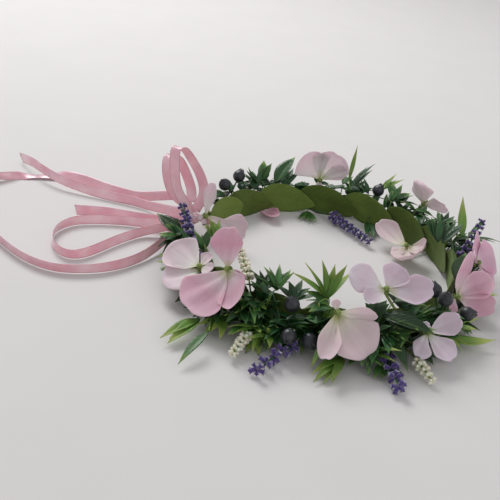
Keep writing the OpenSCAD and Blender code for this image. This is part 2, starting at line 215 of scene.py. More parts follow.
def smooth_noise(rng, n):
    """A slow wave round a rim: a sum of n sines with chosen turns and random phases."""
    terms = [(k, rng.uniform(0, 6.28), rng.uniform(0.5, 1) / k ** 0.6) for k in range(2, 2 + n)]
    return lambda a: sum(w * np.sin(k * a + ph) for k, ph, w in terms)


# ---------------------------------------------------------------- materials

def linear(code):
    """An sRGB hex colour as linear RGBA."""
    rgb = [int(code[i:i + 2], 16) / 255 for i in (1, 3, 5)]
    return [c / 12.92 if c <= 0.04045 else ((c + 0.055) / 1.055) ** 2.4 for c in rgb] + [1]


def add(tree, kind, links=None, **settings):
    """Adds a node with its settings; a link is a socket to join or a value to set."""
    made = tree.nodes.new(kind)
    for key, value in settings.items():
        setattr(made, key, value)
    for key, value in (links or {}).items():
        if isinstance(value, bpy.types.NodeSocket):
            tree.links.new(value, made.inputs[key])
        else:
            made.inputs[key].default_value = value
    return made


def shader(name, **sockets):
    """A new material with one Principled shader set up from sockets' values."""
    made = bpy.data.materials.new(name)
    made.use_nodes = True
    tree = made.node_tree
    base = tree.nodes["Principled BSDF"]
    for key, value in sockets.items():
        base.inputs[key.replace("_", " ")].default_value = value
    return made, tree, base


def ramp(tree, fac, stops):
    """A colour ramp from (position, hex) stops."""
    made = add(tree, "ShaderNodeValToRGB", {"Fac": fac})
    elements = made.color_ramp.elements
    while len(elements) < len(stops):
        elements.new(0.5)
    for element, (place, code) in zip(elements, stops):
        element.position = place
        element.color = linear(code)
    return made.outputs["Color"]


def math_node(tree, operation, a, b=0.0, clamp=False):
    made = add(tree, "ShaderNodeMath", {0: a, 1: b}, operation=operation, use_clamp=clamp)
    return made.outputs[0]


def mixed(tree, fac, a, b, blend="MIX"):
    made = add(tree, "ShaderNodeMix", {0: fac}, data_type="RGBA", blend_type=blend)
    for key, value in ((6, a), (7, b)):
        if isinstance(value, bpy.types.NodeSocket):
            tree.links.new(value, made.inputs[key])
        else:
            made.inputs[key].default_value = linear(value)
    return made.outputs[2]


def bumped(tree, base, height, strength, distance):
    made = add(tree, "ShaderNodeBump", {"Height": height, "Strength": strength, "Distance": distance})
    tree.links.new(made.outputs["Normal"], base.inputs["Normal"])


def mm_noise(tree, size, detail=3.0, stretch=(1, 1, 1)):
    """Noise on the object's own coordinates whose blotches are size mm across."""
    where = add(tree, "ShaderNodeTexCoord")
    scaled = add(tree, "ShaderNodeMapping", {"Vector": where.outputs["Object"], "Scale": stretch})
    made = add(tree, "ShaderNodeTexNoise", {
        "Vector": scaled.outputs["Vector"], "Scale": 1 / (size * MM), "Detail": detail})
    return made.outputs["Fac"]


def uv_parts(tree):
    where = add(tree, "ShaderNodeUVMap", uv_map="UVMap")
    parts = add(tree, "ShaderNodeSeparateXYZ", {"Vector": where.outputs["UV"]})
    return parts.outputs["X"], parts.outputs["Y"]


def tone_of(tree):
    return add(tree, "ShaderNodeAttribute", attribute_name="tone").outputs["Fac"]


def petal_cloth(name, throat, pale, body, rim):
    """Petals of printed polyester satin, die-cut and pressed: a green-yellow throat that fades
    into a pink printed by airbrush, soft pressed veins, and light that comes through."""
    made, tree, base = shader(name, Roughness=0.62, Sheen_Weight=0.25, Sheen_Roughness=0.5,
                              Specular_IOR_Level=0.25, Subsurface_Weight=0.35, Subsurface_Scale=0.004)
    base.inputs["Subsurface Radius"].default_value = (1, 0.6, 0.7)
    u, v = uv_parts(tree)
    blotch = math_node(tree, "MULTIPLY", mm_noise(tree, 9), 0.22)
    place = math_node(tree, "ADD", u, math_node(tree, "SUBTRACT", blotch, 0.11))
    colour = ramp(tree, place, [(0.02, throat), (0.22, pale), (0.55, body), (0.98, rim)])
    shade = mixed(tree, math_node(tree, "MULTIPLY", tone_of(tree), 0.55), colour, body, "MULTIPLY")
    across = math_node(tree, "ABSOLUTE", math_node(tree, "SUBTRACT", v, 0.5))
    fan = math_node(tree, "DIVIDE", across, math_node(tree, "ADD", u, 0.12))
    lines = math_node(tree, "PINGPONG", fan, 0.055)
    vein = math_node(tree, "SUBTRACT", 1, math_node(tree, "MULTIPLY", lines, 36), clamp=True)
    faint = math_node(tree, "MULTIPLY", vein, 0.06)
    veined = mixed(tree, faint, shade, rim, "MULTIPLY")
    tree.links.new(veined, base.inputs["Base Color"])
    fine = mm_noise(tree, 0.45, 2)
    height = math_node(tree, "SUBTRACT", fine, math_node(tree, "MULTIPLY", vein, 0.4))
    bumped(tree, base, height, 0.25, 0.0002)
    return made


def satin():
    """Single-faced polyester satin ribbon, 7 mm wide: long floats along the ribbon throw
    broad near-white highlights, with a fine warp and a firm selvedge."""
    made, tree, base = shader("polyester_satin", Roughness=0.26, Sheen_Weight=0.35,
                              Sheen_Roughness=0.35, Anisotropic=0.6, Specular_IOR_Level=1.0,
                              Coat_Weight=0.35, Coat_Roughness=0.22,
                              Subsurface_Weight=0.15, Subsurface_Scale=0.003)
    u, v = uv_parts(tree)
    across = math_node(tree, "ABSOLUTE", math_node(tree, "SUBTRACT", v, 0.5))
    edge = math_node(tree, "GREATER_THAN", across, 0.44)
    blotch = mm_noise(tree, 14, 2)
    body = ramp(tree, blotch, [(0.3, "#e8aebd"), (0.7, "#f6d2db")])
    tree.links.new(mixed(tree, math_node(tree, "MULTIPLY", edge, 0.5), body, "#c98a9d", "MULTIPLY"),
                   base.inputs["Base Color"])
    thread = math_node(tree, "SINE", math_node(tree, "MULTIPLY", v, 150))
    bumped(tree, base, thread, 0.12, 0.0001)
    return made


def lining_cloth(name, light, dark):
    """Dyed polyester leaf cloth, flat and matte, with the weave and pressed veins just showing."""
    made, tree, base = shader(name, Roughness=0.85, Specular_IOR_Level=0.15, Sheen_Weight=0.15)
    u, v = uv_parts(tree)
    body = ramp(tree, mm_noise(tree, 12), [(0.25, dark), (0.75, light)])
    across = math_node(tree, "ABSOLUTE", math_node(tree, "SUBTRACT", v, 0.5))
    slant = math_node(tree, "SUBTRACT", u, math_node(tree, "MULTIPLY", across, 0.5))
    lines = math_node(tree, "PINGPONG", slant, 0.055)
    vein = math_node(tree, "SUBTRACT", 1, math_node(tree, "MULTIPLY", lines, 60), clamp=True)
    mid = math_node(tree, "SUBTRACT", 1, math_node(tree, "MULTIPLY", across, 40), clamp=True)
    both = math_node(tree, "MAXIMUM", vein, mid)
    toned = mixed(tree, math_node(tree, "MULTIPLY", tone_of(tree), 0.5), body, dark, "MULTIPLY")
    tree.links.new(mixed(tree, math_node(tree, "MULTIPLY", both, 0.14), toned, dark, "MULTIPLY"),
                   base.inputs["Base Color"])
    weave = mm_noise(tree, 0.5, 1)
    bumped(tree, base, math_node(tree, "SUBTRACT", weave, both), 0.3, 0.0002)
    return made


def leaf_plastic(name, root, body, tip, rough, tip_from=0.75):
    """Injection-moulded polyethylene leaf: a lighter midrib and veins, a darker root and a
    yellow-green tip where the dye thins, with the soft gloss of plastic."""
    made, tree, base = shader(name, Roughness=rough, Specular_IOR_Level=0.45,
                              Subsurface_Weight=0.12, Subsurface_Scale=0.002)
    u, v = uv_parts(tree)
    place = math_node(tree, "ADD", u, math_node(tree, "MULTIPLY", mm_noise(tree, 4), 0.15))
    colour = ramp(tree, place, [(0.0, root), (0.4, body), (tip_from, body), (1.0, tip)])
    toned = mixed(tree, math_node(tree, "MULTIPLY", tone_of(tree), 0.8), colour, body, "MULTIPLY")
    across = math_node(tree, "ABSOLUTE", math_node(tree, "SUBTRACT", v, 0.5))
    mid = math_node(tree, "SUBTRACT", 1, math_node(tree, "MULTIPLY", across, 22), clamp=True)
    slant = math_node(tree, "SUBTRACT", u, math_node(tree, "MULTIPLY", across, 0.7))
    lines = math_node(tree, "PINGPONG", slant, 0.06)
    vein = math_node(tree, "SUBTRACT", 1, math_node(tree, "MULTIPLY", lines, 45), clamp=True)
    lit = math_node(tree, "MAXIMUM", mid, math_node(tree, "MULTIPLY", vein, 0.3))
    tree.links.new(mixed(tree, math_node(tree, "MULTIPLY", lit, 0.45), toned, tip),
                   base.inputs["Base Color"])
    bumped(tree, base, lit, 0.5, 0.0003)
    return made


def grained(name, dark, light, size, rough, bump, stretch=(1, 1, 1), **sockets):
    """A finish with two shades in blotches of a real size and the same grain as its bump."""
    made, tree, base = shader(name, Roughness=rough, **sockets)
    grain = mm_noise(tree, size, 4, stretch)
    tree.links.new(ramp(tree, grain, [(0.3, dark), (0.7, light)]), base.inputs["Base Color"])
    bumped(tree, base, grain, bump, size * MM * 0.3)
    return made


PINK = petal_cloth("satin_petal_pink", "#b9bd84", "#e8ccd4", "#dca6b8", "#e1b4c3")
PALE_PINK = petal_cloth("satin_petal_pale", "#c6ca92", "#f2e8e4", "#ecd6dc", "#e6c8d3")
ROSE = petal_cloth("satin_petal_rose", "#c6c994", "#eed0dc", "#e5b0c7", "#e6bccd")
LILAC = petal_cloth("satin_petal_lilac", "#c5cb96", "#eadce2", "#e0c9d6", "#e0cddb")
CREAM = petal_cloth("satin_petal_cream", "#b3ba74", "#e8ddcf", "#e4cbcf", "#e3c8d0")
SATIN = satin()
LINING_LIGHT = lining_cloth("leaf_cloth_light", "#8fa253", "#7b8f45")
LINING_DARK = lining_cloth("leaf_cloth_olive", "#758a40", "#617534")
# Latex-dipped leaves: darker, with a wet-looking gloss.
GLOSSY = leaf_plastic("leaf_latex_dark", "#2c4a24", "#28532b", "#6f9a4a", 0.28, 0.9)
DARK = leaf_plastic("leaf_plastic_dark", "#243f22", "#2d5a30", "#4c7f3f", 0.36)
MID = leaf_plastic("leaf_plastic_mid", "#2f5527", "#42763a", "#86a94e", 0.36)
BRIGHT = leaf_plastic("leaf_plastic_bright", "#4d7a2c", "#76a046", "#b9c56a", 0.45, 0.6)
GREY = leaf_plastic("leaf_plastic_grey", "#46604a", "#5f7c62", "#8ba37c", 0.5)
# Flocked lavender florets: a dry, dusty violet with lighter lips.
FLOCK = grained("flocked_floret", "#3a2c66", "#6a569c", 0.9, 0.9, 0.5, Sheen_Weight=0.6,
                Specular_IOR_Level=0.1)
# Foam berries dipped in wax: blue-black with a dusty bloom and a low gloss.
BERRY = grained("waxed_foam_berry", "#1b201f", "#34353e", 2.2, 0.38, 0.25, Coat_Weight=0.15,
                Coat_Roughness=0.4)
# Moulded buds: warm white with a waxy, slightly translucent skin.
BUD = grained("moulded_bud_cream", "#dcd9bb", "#f6f4e6", 1.5, 0.5, 0.2, Subsurface_Weight=0.3,
              Subsurface_Scale=0.002)
# Crepe paper floral tape: stretched, matte, with creases across the winding.
TAPE = grained("crepe_tape_moss", "#45481f", "#6f7238", 1.1, 0.8, 0.7, (1, 1, 2.5))
# Stem tape over wire: the same crepe, lighter where it is stretched.
STEM = grained("crepe_tape_stem", "#5d7238", "#93a257", 1.0, 0.7, 0.5)
# Annealed iron wire: dull grey with a thin oxide.
WIRE = grained("annealed_wire", "#55534d", "#7d7a72", 0.8, 0.45, 0.15, Metallic=1.0)
# A brown plastic twig.
TWIG = grained("moulded_twig", "#3d3324", "#6a5a3c", 0.8, 0.6, 0.4)


# ---------------------------------------------------------------- ribbon

RIBBON_W, RIBBON_T = 7.2, 0.34
RIBBON_PLACE = Vector((91.6 - HOOP_R, 0, HOOP_Z - 11))
# Routes: [x, y, z, azimuth, elevation] with the direction of the ribbon's width
LONG_LOOP = [
    [-101, 17, 16, 90, 80], [-109, 31, 15, 90, 80], [-120, 43, 12, 90, 80],
    [-134, 45, 8, 90, 75], [-152, 44, 4.6, 90, 75], [-176, 48, 4.2, 90, 70],
    [-207, 54, 5, 100, 60], [-229, 51, 2, 70, 5], [-244, 43, 2, 55, 5],
    [-260, 26, 5, 20, 60], [-268, 6, 4.2, 0, 80], [-261, -16, 4.2, 330, 80],
    [-242, -34, 4.2, 315, 75], [-211, -59, 4.2, 300, 70], [-185, -74, 4.2, 285, 75],
    [-161, -77, 4.2, 270, 75], [-136, -65, 4.2, 235, 75], [-119, -43, 4.2, 215, 75],
    [-109, -14, 7, 200, 75], [-104, 1, 9, 190, 75],
]
LONG_END = [
    [-104, 14, 14, 90, 80], [-117, 23, 9, 90, 80], [-137, 32, 4.6, 90, 80],
    [-152, 35, 4.2, 90, 80], [-178, 36, 4.2, 90, 80], [-208, 39, 7, 90, 85],
    [-226, 46, 8.6, 90, 88], [-243, 58, 8.2, 110, 80], [-259, 71, 4.2, 120, 70],
]
SHORT_END = [
    [-104, 11, 10, 90, 80], [-114, 12, 7.5, 90, 80], [-128, 12, 4.6, 90, 80],
    [-143, 11, 4.2, 90, 80], [-164, 9, 4.2, 90, 75], [-184, 3, 4.2, 90, 75],
]
TIE = [
    [-100, 7, 13, 90, 80], [-101, -4, 11.5, 180, 80], [-98, -13, 11, 180, 88],
    [-91, -15.6, 11, 180, 88], [-87, -14, 9, 180, 80], [-85.4, -6, 6.5, 180, 80],
    [-85.4, 6, 6.5, 180, 80], [-87, 14, 9, 180, 80], [-91, 15.6, 11, 180, 88],
    [-96, 15, 12, 180, 88], [-99, 13.6, 13, 180, 80],
]
SIDE_LOOP = [
    [-103, 7, 10, 90, 85], [-118, 5, 7, 90, 85], [-133, 4, 4.6, 90, 85],
    [-149, 1, 4.2, 90, 85], [-167, -6, 4.2, 60, 80], [-179, -15, 4.2, 30, 80],
    [-184, -30, 4.2, 0, 80], [-179, -48, 4.2, 330, 80], [-166, -58, 4.2, 280, 80],
    [-154, -52, 4.2, 225, 80], [-140, -25, 4.2, 205, 80], [-128, -8, 4.6, 220, 80],
    [-113, -1, 8.5, 250, 80], [-103, 4, 9.5, 260, 80],
]
STANDING_LOOP = [
    [-98, 15, 17, 0, 0], [-95, 23, 28, 0, 0], [-99, 25, 40, 0, 0],
    [-107, 22, 54, 0, 0], [-112, 17, 62, 0, 0], [-115, 11, 62, 0, 0],
    [-114, 8, 50, 0, 0], [-111, 7, 36, 0, 0], [-104, 7, 25, 0, 0], [-99, 8, 18, 0, 0],
]
SECOND_LOOP = [
    [-103, 21, 20, 0, 0], [-106, 28, 28, 0, 0], [-114, 31, 42, 0, 0],
    [-119, 28, 50, 0, 0], [-123, 22, 50, 0, 0], [-121, 16, 40, 0, 0],
    [-115, 13, 28, 0, 0], [-107, 14, 21, 0, 0],
]


def curve_through(points, per=6):
    """A smooth line through points (Catmull-Rom), per steps between each pair."""
    p = np.asarray(points, float)
    p = np.vstack((2 * p[0] - p[1], p, 2 * p[-1] - p[-2]))
    out = []
    for i in range(1, len(p) - 2):
        a, b, c, d = p[i - 1], p[i], p[i + 1], p[i + 2]
        for t in np.arange(per) / per:
            out.append(0.5 * (2 * b + (c - a) * t + (2 * a - 5 * b + 4 * c - d) * t * t
                              + (3 * b - a - 3 * c + d) * t ** 3))
    out.append(p[-2])
    return np.array(out)


def ribbon(cloth, route, width=RIBBON_W, thick=RIBBON_T, slant=0.0, per=6):
    """Adds a ribbon along a route and returns its centreline in metres."""
    widths = [aim(r[3], r[4]) for r in route]
    for i in range(1, len(widths)):
        if widths[i].dot(widths[i - 1]) < 0:
            widths[i] = -widths[i]
    line = curve_through([r[:3] for r in route], per) + np.array(RIBBON_PLACE)
    across = curve_through([tuple(w) for w in widths], per)
    along = np.gradient(line, axis=0)
    along /= np.linalg.norm(along, axis=1, keepdims=True)
    across -= along * (across * along).sum(1, keepdims=True)
    across /= np.linalg.norm(across, axis=1, keepdims=True)
    face = np.cross(along, across)
    t = np.linspace(-1, 1, 9)
    camber = 0.35 * (t * t - 0.4)
    grid = line[:, None] + across[:, None] * (t * width / 2)[None, :, None]
    grid += face[:, None] * camber[None, :, None]
    grid[-1] += along[-1] * (t * slant)[:, None]
    length = np.concatenate(([0], np.cumsum(np.linalg.norm(np.diff(line, axis=0), axis=1))))
    uv = np.stack(np.broadcast_arrays(length[:, None] / 100, (t / 2 + 0.5)[None]), -1)
    cloth.shell(grid, uv, thick, edge=0.8)
    return line * MM


def free_ribbons():
    """The ribbon's loops and ends, each a flat band of satin that rides on the crown."""
    rows = [
        ("ribbon_long_loop", LONG_LOOP, "object", 0), ("ribbon_long_end", LONG_END, "bare", 4),
        ("ribbon_short_end", SHORT_END, "bare", 1), ("ribbon_side_loop", SIDE_LOOP, "object", 0),
        ("ribbon_standing_loop", STANDING_LOOP, "object", 0),
        ("ribbon_second_loop", SECOND_LOOP, "object", 0),
    ]
    for node, route, far_end, slant in rows:
        cloth = Cloth()
        path = ribbon(cloth, route, slant=slant)
        obj = cloth.piece(node + "_satin", SATIN)
        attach(obj, "crown")
        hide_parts(node)


def knot():
    """The tie through the eyes and the knot, a few bands of ribbon pulled tight."""
    cloth = Cloth()
    ribbon(cloth, TIE, 5.2, 0.5)
    obj = cloth.piece("ribbon_tie_satin", SATIN)
    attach(obj, "crown")
    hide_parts("ribbon_tie")
    low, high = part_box("ribbon_knot")
    centre = np.array((low + high) / 2 / MM)
    cloth = Cloth()
    for az, el, r, squeeze, offset in ((20, 62, 5.2, 0.8, 0.8), (-50, 40, 4.9, 0.85, -1.2),
                                       (75, 20, 4.7, 0.9, 0.4), (150, 75, 5.0, 0.8, -0.6)):
        down, side, out = (np.array(v) for v in axes(az, el))
        a = np.linspace(0, 2 * math.pi * 0.97, 40)
        t = np.linspace(-1, 1, 7)
        ring = centre + (down * np.cos(a)[:, None] + side * (squeeze * np.sin(a))[:, None]) * r
        pinch = 0.75 + 0.25 * np.cos(2 * a)
        grid = ring[:, None] + out * (t[None, :, None] * (pinch * 2.9)[:, None, None] + offset)
        grid += (centre - ring)[:, None] * (0.16 * (t * t)[None, :, None])
        uv = np.stack(np.broadcast_arrays(a[:, None] / 6, (t / 2 + 0.5)[None]), -1)
        cloth.shell(grid, uv, 0.4, edge=0.8)
    obj = cloth.piece("ribbon_knot_satin", SATIN)
    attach(obj, "crown")
    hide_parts("ribbon_knot")


free_ribbons()
knot()


# ---------------------------------------------------------------- blossoms

# Each blossom: hub [dr, angle, z], facing [azimuth, elevation], cup radius, cloth and petals
# [direction, length, width share, tip bend, side cup, twist, and a claw's share where it has
# one], angles in degrees
BLOSSOMS = {
    1: ([12, -121, 34], [-124, 33], 62, PINK, [
        [-8, 35, 0.98, -10, 0.25, 0], [62, 30, 0.8, 20, 0.6, 15],
        [96, 17, 0.35, 10, 0.8, 30], [205, 26, 0.95, -20, 0.35, -10]]),
    2: ([11, -137, 20], [-136, 58], 60, PALE_PINK, [
        [-14, 26, 0.95, -25, 0.3, 0], [-78, 28, 0.95, -20, 0.3, 10],
        [-165, 12, 0.8, 30, 0.5, 0], [110, 12, 0.8, 30, 0.5, 0]]),
    3: ([14, -81, 30], [-65, 36], 52, CREAM, [
        [30, 31, 1.0, 25, 0.7, 0], [-25, 32, 0.45, -10, 0.9, 20],
        [84, 24, 0.42, 60, 0.9, 30], [190, 8, 0.7, 30, 0.5, 0]]),
    4: ([-3, -61, 36], [-83, 54], 46, LILAC, [
        [92, 29, 0.62, -25, 0.5, 15], [152, 18, 1.0, 20, 0.5, 0],
        [-104, 25, 0.72, -25, 0.5, -10], [-52, 19, 0.6, 60, 0.7, 0]]),
    5: ([19, -49, 17], [-62, 50], 46, LILAC, [
        [30, 22, 0.7, -25, 0.4, 0], [106, 23, 0.62, -10, 0.5, 10],
        [-38, 20, 0.62, -25, 0.5, 0], [190, 7, 0.8, 20, 0.5, 0]]),
    6: ([7, -25, 22], [-42, 35], 60, PINK, [
        [62, 30, 0.55, -10, 0.6, 20], [99, 30, 0.62, -10, 0.5, -20],
        [154, 31, 0.42, 10, 0.8, 25], [-50, 12, 0.7, 20, 0.5, 0]]),
    7: ([11, 0, 28], [-8, 34], 46, ROSE, [
        [75, 25, 0.95, 15, 0.4, 0], [140, 22, 0.95, 15, 0.4, 10],
        [-150, 12, 0.9, 30, 0.5, 0], [5, 20, 0.9, -15, 0.4, 0]]),
    8: ([10, 101, 25], [-79, 8], 60, PALE_PINK, [
        [214, 27, 1.05, -10, 0.4, 0], [158, 28, 1.05, -15, 0.4, 0],
        [122, 25, 0.5, 25, 0.6, 10], [0, 7, 0.8, 0, 0.3, 0]]),
    9: ([24, 55, 24], [45, 45], 40, PALE_PINK, [
        [90, 20, 1.05, 40, 0.5, 0], [170, 22, 1.05, 40, 0.5, 0],
        [-90, 20, 1.05, 40, 0.5, 0], [0, 19, 1.05, 40, 0.5, 0]]),
    10: ([1, 175, 18], [-77, 20], 70, PALE_PINK, [
        [76, 33, 0.75, -10, 0.4, 0, 0.4], [174, 26, 0.36, 10, 0.6, 0],
        [-70, 6, 0.6, 20, 0.4, 0], [-10, 6, 0.6, 20, 0.4, 0]]),
    11: ([-17, 38, 8], [-146, 64], 50, CREAM, [
        [-77, 32, 0.6, 10, 0.7, 10], [62, 28, 0.8, 50, 0.8, 0],
        [112, 20, 0.8, 50, 0.7, 10], [12, 14, 0.8, 20, 0.5, 0]]),
}


KEPT_CLEAR = []  # points on petals and berries, and just in front of petals, that leaves avoid


def petal_surface(length, share, cup, tip_bend, side_cup, twist, rng, claw=0.0, n=27):
    """A rounded petal along +X in mm: narrow at its root and for a claw's share of its length,
    bent up by the cup radius, with its sides cupped, its tip bent, and a wave along the rim."""
    X, Y = disc(n)
    u = (1 + X) / 2
    open_u = np.clip((u - claw) / (1 - claw), 0, 1)
    grow = 0.22 + 0.88 * np.clip(open_u / 0.6, 0, 1) ** 0.9 - 0.1 * np.clip((u - 0.7) / 0.3, 0, 1)
    half = length * share / 2
    notch = 1 - rng.uniform(0.0, 0.06) * np.exp(-(Y / 0.25) ** 2) * u ** 6
    r, a = np.sqrt(X * X + Y * Y), np.arctan2(Y, X)
    wave = smooth_noise(rng, 4)
    rim = 1 + 0.045 * wave(a) * r ** 4
    y = Y * half * grow * rim
    rise = math.degrees(length / cup)
    bends = [0, rise * 0.3, rise * 0.62, rise * 0.9, rise + tip_bend]
    along, lift, slope = swept(np.clip(u * notch, 0, 1), bends)
    curve = side_cup / max(half, 1)
    lean = y * curve
    across = np.where(np.abs(lean) > 1e-6, np.sin(lean) / curve, y)
    out = (1 - np.cos(lean)) / curve
    out = out + rng.uniform(0.02, 0.035) * length * wave(a + 1) * r ** 3
    fold = smooth_noise(rng, 3)
    out = out + 0.05 * half * fold(Y * 2.6 + u) * np.sin(np.pi * np.clip(u, 0, 1)) ** 0.7
    out = out + 0.12 * half * np.clip(r - 0.72, 0, 1) ** 1.5 * rng.choice((-6, 4, 6))
    out = out - 0.35 * np.exp(-(y / 0.7) ** 2) * np.clip(1 - u, 0, 1) ** 0.5
    turn = np.radians(twist) * u
    y2, z2 = across * np.cos(turn) - out * np.sin(turn), across * np.sin(turn) + out * np.cos(turn)
    x = 0.8 + along * (length - 0.8) - np.sin(slope) * z2
    z = lift * (length - 0.8) + np.cos(slope) * z2
    return np.stack((x, y2, z), -1), np.stack((u, Y / 2 + 0.5), -1)


def set_on(points, centre, basis, turn):
    """Turns local points about the facing axis, then puts them on a hub."""
    a = math.radians(turn)
    spin = np.array([[math.cos(a), -math.sin(a), 0], [math.sin(a), math.cos(a), 0], [0, 0, 1]])
    frame_rows = np.array([list(v) for v in basis])
    return points @ spin.T @ frame_rows + np.array(centre)


def blossom(k):
    """Four petals of one blossom as one piece that turns with it."""
    hub, facing, cup, cloth_kind, petals = BLOSSOMS[k]
    rng = random.Random(100 + k)
    cloth = Cloth()
    basis = axes(*facing)
    for i, (turn, length, share, tip_bend, side_cup, twist, *claw) in enumerate(petals):
        p, uv = petal_surface(length, share, cup, tip_bend, side_cup, twist, rng, *claw)
        p[..., 2] += 0.3 + 0.22 * i
        placed = set_on(p, rad(*hub), basis, turn)
        cloth.shell(placed, uv, 0.34, tone=rng.uniform(0.0, 0.6))
        for ahead in (0, 3, 6):
            KEPT_CLEAR.extend((placed[1::3, 1::3] + np.array(basis[2]) * ahead).reshape(-1, 3))
        for swing in (-SWING, -SWING / 2, SWING / 2, SWING):
            swung = set_on(p, rad(*hub), basis, turn + swing)
            KEPT_CLEAR.extend(swung[1::3, 1::3].reshape(-1, 3))
    obj = cloth.piece(f"blossom_{k}_petals", cloth_kind)
    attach(obj, f"blossom_{k}")
    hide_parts(f"petals_{k}")


def loose_petal():
    """The petal squeezed flat under the lining, folded along its middle."""
    cloth = Cloth()
    p, uv = petal_surface(29, 0.5, 120, 10, 0.9, 10, random.Random(7))
    p[..., 2] += 0.8
    cloth.shell(set_on(p, rad(9, 129, 0.6), axes(129, 90), 180), uv, 0.34, tone=0.5)
    obj = cloth.piece("loose_petal_cloth", PINK)
    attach(obj, "crown")
    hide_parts("petal_under_lining")


for number in BLOSSOMS:
    blossom(number)
loose_petal()

# Berry picks: stalk angle, joint [dr, angle, z] and berries
BERRIES = {
    "berries_front": (-94, [7, -94, 16], [[9, -96, 26], [25, -94, 15], [20, -88, 12]]),
    "berries_right": (-36, [9, -38, 18], [[2, -38, 32], [13, -40, 33], [21, -31, 21]]),
    "berries_left": (146, [9, 146, 18], [[12, 141, 29], [9, 151, 27]]),
    "berry_back": (76, [11, 75, 19], [[13, 74, 25]]),
}
for _, _, places in BERRIES.values():
    for place in places:
        for az in range(0, 360, 40):
            KEPT_CLEAR.extend(rad(*place) + aim(az, el) * 5 for el in (-30, 20, 65))

CLEAR_TREE = KDTree(len(KEPT_CLEAR))
for i, point in enumerate(KEPT_CLEAR):
    CLEAR_TREE.insert(point, i)
CLEAR_TREE.balance()


# ---------------------------------------------------------------- lining

LINING_H, LINING_L, LINING_PITCH = 24, 48, 22.6


def lining_leaf(cloth, angle, length, rng, light=False):
    """A leaf laid along the ring, tip clockwise: fine teeth on its rim, a pressed midrib,
    its root under the leaf before and its tip lifted a little into the ring."""
    rows, cols = 97, 13
    u = np.linspace(0, 1, rows)
    teeth = 0.0 if light else 0.6
    bulge = np.where(u < 0.4, np.sin(np.pi / 2 * np.minimum(u / 0.4, 1)) ** 0.5,
                     np.cos(np.pi / 2 * np.clip((u - 0.4) / 0.6, 0, 1)) ** (0.5 if light else 0.8))
    half = LINING_H / 2 * (bulge + 0.02)
    half = half + teeth * (np.abs((u * 26) % 1 - 0.35) - 0.3) * (bulge > 0.12)
    v = np.linspace(-1, 1, cols)
    along = (0.5 - u[:, None]) * length + 0 * v[None]
    high = LINING_H / 2 + v[None] * np.maximum(half, 0.05)[:, None]
    high = high + 1.2 * np.sin(u * 3.1 + rng.uniform(0, 3))[:, None] * (1 - abs(high / 12 - 1) ** 2)
    high = high - (0 if light else 6.5) * (u[:, None] - 0.42)
    depth = 0.5 - (5.5 if light else 3.0) * u[:, None] ** 2 + 0.3 * np.exp(-(v / 0.08) ** 2)[None]
    depth = depth + 0.4 * rng.uniform(-1, 1) * v[None] * u[:, None]
    depth = depth + 0.25 * np.sin(9 * u + rng.uniform(0, 6))[:, None] * np.abs(v)[None] ** 2
    a = math.radians(angle) + along / RING
    r = RING + depth
    points = np.stack((r * np.cos(a), r * np.sin(a), np.maximum(high, 0.15)), -1)
    uv = np.stack(np.broadcast_arrays(u[:, None], (v / 2 + 0.5)[None]), -1)
    cloth.shell(points, uv, 0.3, tone=rng.uniform(0, 1), edge=0.6)


def lining():
    rng = random.Random(31)
    groups = [
        ("lining_first_leaf", LINING_LIGHT, [(158, LINING_L * 0.75, True)]),
        ("lining_back_leaves", LINING_DARK,
         [(140.6 - LINING_PITCH * (i - 1), LINING_L, False) for i in range(1, 7)]),
        ("lining_front_leaves", LINING_DARK,
         [(140.6 - LINING_PITCH * (i - 1), LINING_L, False) for i in range(7, 15)]),
    ]
    for node, cloth_kind, leaves in groups:
        cloth = Cloth()
        for angle, length, light in leaves:
            lining_leaf(cloth, angle, length, rng, light)
        obj = cloth.piece(node + "_cloth", cloth_kind)
        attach(obj, "crown")
        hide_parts(node)


lining()


# ---------------------------------------------------------------- foliage

def leaf(cloth, root, az, el, length, width, droop=25, fold=0.35, roll=0.0, tone=0.4,
         rows=15, cols=5, peak=0.42):
    """A pointed leaf from a root point (mm): folded along its midrib and bent downwards. It is
    left out, and False returned, where it would meet a berry or a petal as the petal turns."""
    u = np.linspace(0, 1, rows)
    v = np.linspace(-1, 1, cols)
    shape = np.where(u < peak, np.sin(np.pi / 2 * np.minimum(u / peak, 1)) ** 0.75,
                     np.cos(np.pi / 2 * np.clip((u - peak) / (1 - peak), 0, 1)) ** 1.15)
    half = np.maximum(width / 2 * shape, 0.12)
    half[0] = min(0.35, width * 0.15)
    bends = [0, -droop * 0.15, -droop * 0.45, -droop * 0.8, -droop * 1.1]
    along, lift, slope = swept(u, bends)
    y = v[None] * half[:, None]
    up = np.abs(y) * math.tan(math.radians(fold * 60)) + 0.1 * np.sin(u * 12)[:, None] * v[None]
    a = math.radians(roll) * u[:, None] ** 0.5
    y2, z2 = y * np.cos(a) - up * np.sin(a), y * np.sin(a) + up * np.cos(a)
    x = along[:, None] * length - np.sin(slope)[:, None] * z2
    z = lift[:, None] * length + np.cos(slope)[:, None] * z2
    down, side, out = axes(az, el)
    down, side, out = (np.array(v) for v in (down, side, out))
    points = x[..., None] * out + y2[..., None] * side - z[..., None] * down
    points = points + np.array(root)
    if any(CLEAR_TREE.find(p)[2] < LEAF_GAP for p in points[::2, ::2].reshape(-1, 3)):
        return False
    uv = np.stack(np.broadcast_arrays(u[:, None], (v / 2 + 0.5)[None]), -1)
    cloth.shell(points, uv, 0.34, tone=tone, edge=0.5)
    return True


